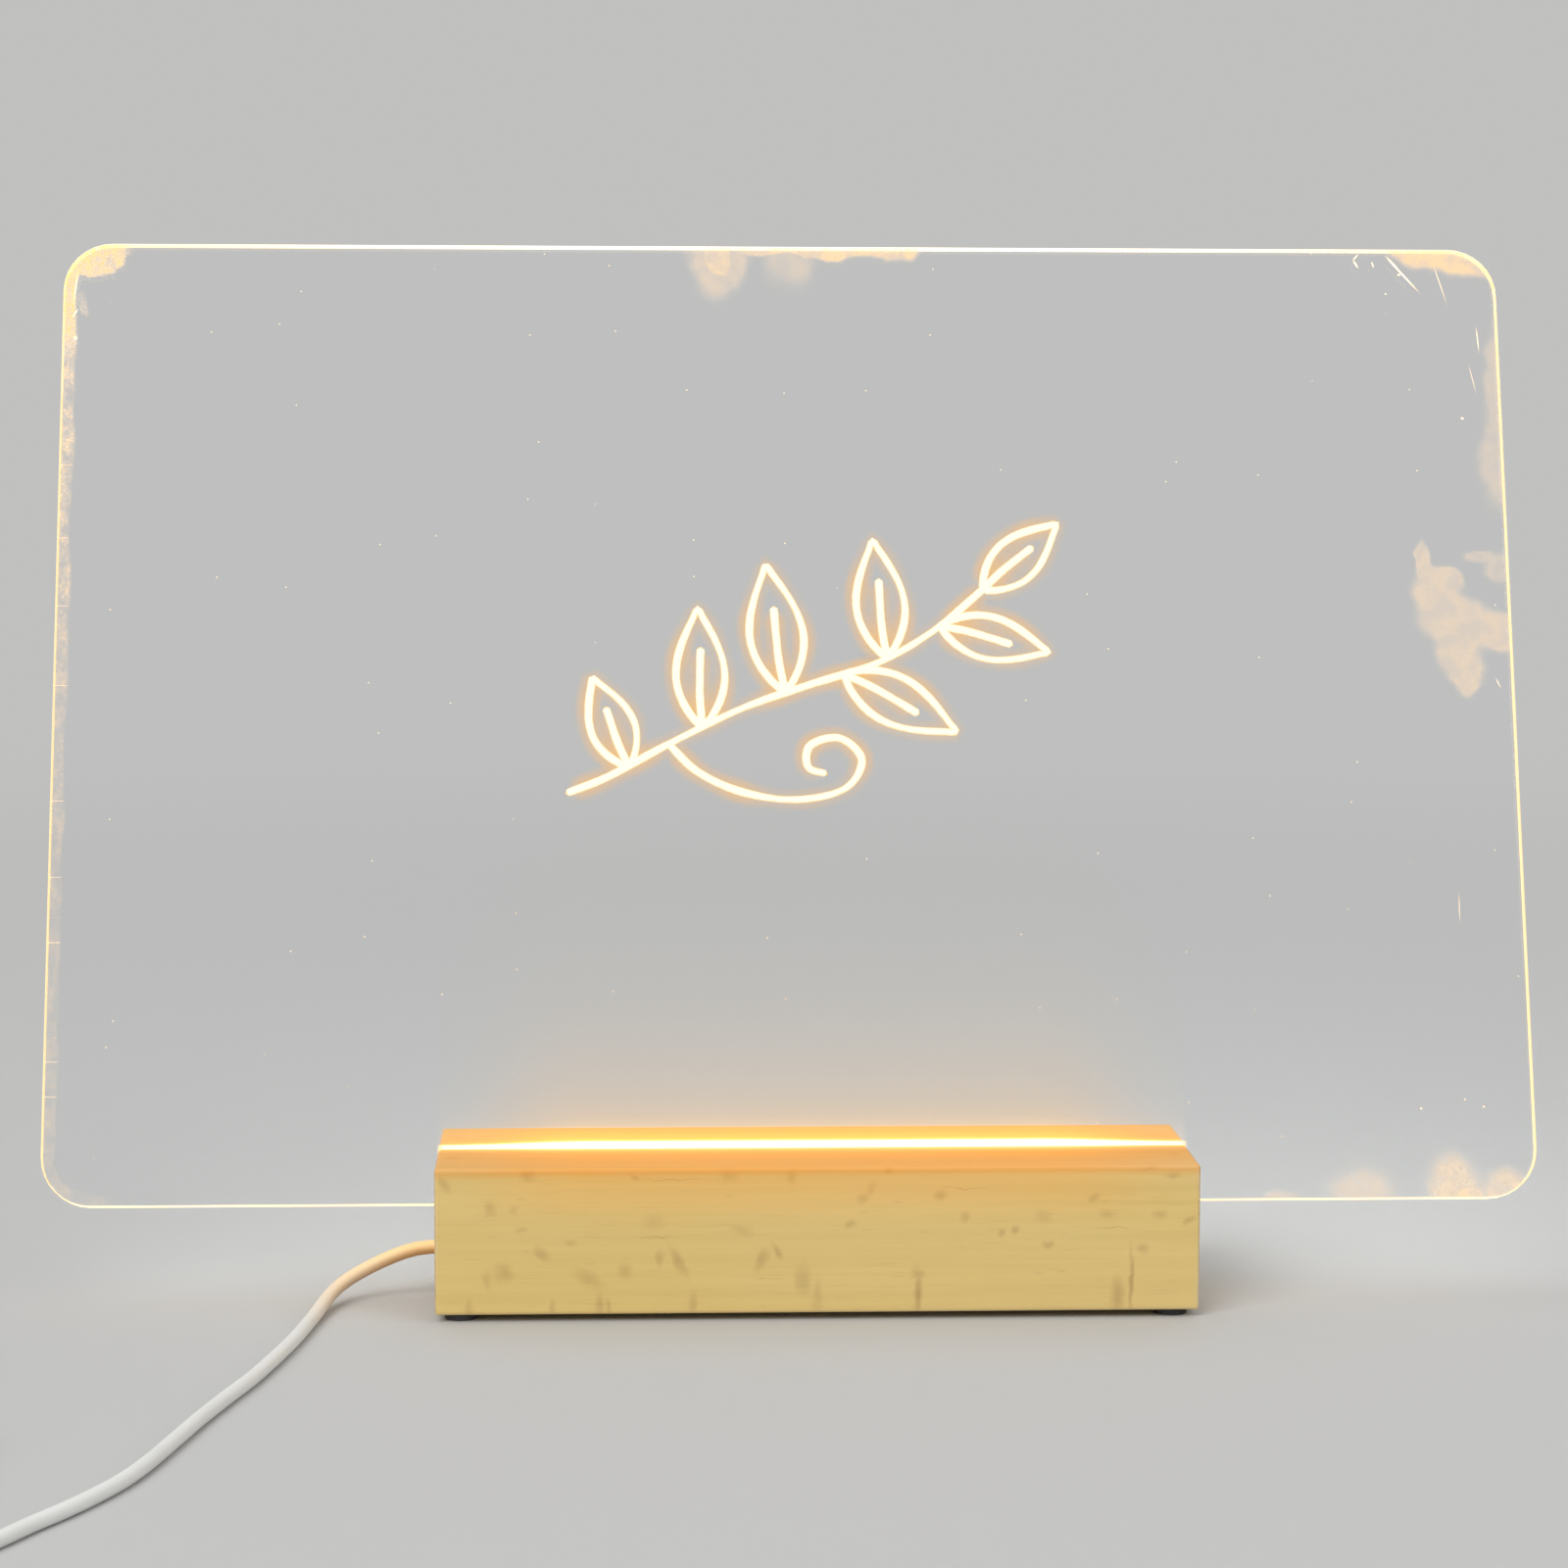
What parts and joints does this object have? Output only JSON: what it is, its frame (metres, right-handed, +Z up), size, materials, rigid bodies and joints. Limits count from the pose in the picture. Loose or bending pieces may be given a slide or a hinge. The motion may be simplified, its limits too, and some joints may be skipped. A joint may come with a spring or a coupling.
{
  "type": "lit writing board",
  "caption": "Clear rounded sheet leaning back in a slotted wooden base whose lamps light its lower edge, with an in-line push switch, a coiled lead and a flat plug.",
  "frame": {"origin": "middle of the footprint of the board and its base, on the table under the rubber feet", "axes": "+X along the board to its right seen from the front, +Y to the back, +Z up"},
  "size_m": [0.3639, 0.239, 0.2111],
  "materials": {
    "clear_acrylic": "polished",
    "beech": "satin",
    "plywood": "matte",
    "foot_rubber": "matte",
    "zinc_steel": "satin",
    "strip_white": "satin",
    "lamp_glow": "gloss",
    "chip_black": "matte",
    "tie_nylon": "satin",
    "red_pvc": "satin",
    "black_pvc": "satin",
    "white_pvc": "satin",
    "white_abs": "satin",
    "contact_brass": "satin",
    "spring_steel": "satin",
    "plug_nickel": "gloss"
  },
  "bodies": {
    "base": {"base_block": "beech", "bottom_plate": "plywood", "cable_tie": "tie_nylon", "coil_tie": "black_pvc", "cord_coil": "white_pvc", "cord_lead": "white_pvc", "cord_link": "white_pvc", "cord_tail": "white_pvc", "lamp_strip": "strip_white", "led_01": "lamp_glow", "led_02": "lamp_glow", "led_03": "lamp_glow", "led_04": "lamp_glow", "led_05": "lamp_glow", "led_06": "lamp_glow", "led_07": "lamp_glow", "led_08": "lamp_glow", "led_09": "lamp_glow", "led_10": "lamp_glow", "led_11": "lamp_glow", "led_12": "lamp_glow", "plate_screw_1": "zinc_steel", "plate_screw_2": "zinc_steel", "plate_screw_3": "zinc_steel", "plate_screw_4": "zinc_steel", "plug_body": "white_pvc", "plug_contact_1": "contact_brass", "plug_contact_2": "contact_brass", "plug_contact_3": "contact_brass", "plug_contact_4": "contact_brass", "plug_shell": "plug_nickel", "plug_tongue": "white_abs", "resistor_1": "chip_black", "resistor_2": "chip_black", "resistor_3": "chip_black", "rubber_foot_1": "foot_rubber", "rubber_foot_2": "foot_rubber", "rubber_foot_3": "foot_rubber", "rubber_foot_4": "foot_rubber", "strip_screw_1": "zinc_steel", "strip_screw_2": "zinc_steel", "switch_contact_in": "contact_brass", "switch_contact_out": "contact_brass", "switch_lower_case": "white_abs", "switch_screw_1": "zinc_steel", "switch_screw_2": "zinc_steel", "switch_spring": "spring_steel", "switch_through_wire": "black_pvc", "switch_upper_case": "white_abs", "switch_wire_in": "red_pvc", "switch_wire_out": "red_pvc", "wire_black": "black_pvc", "wire_red": "red_pvc"},
    "board": {"acrylic_board": "clear_acrylic"},
    "button": {"switch_button": "white_abs", "switch_contact_ring": "contact_brass"}
  },
  "joints": [
    {"name": "board_lift", "type": "slide", "parent": "base", "child": "board", "axis": [0, 0.2924, 0.9563], "range_m": [0, 0.03]},
    {"name": "switch_press", "type": "slide", "parent": "base", "child": "button", "axis": [0, 0, -1], "range_m": [0, 0.0012], "stiffness_N_per_m": 800, "springref_m": -0.0006, "deforming": ["switch_spring"]}
  ]
}
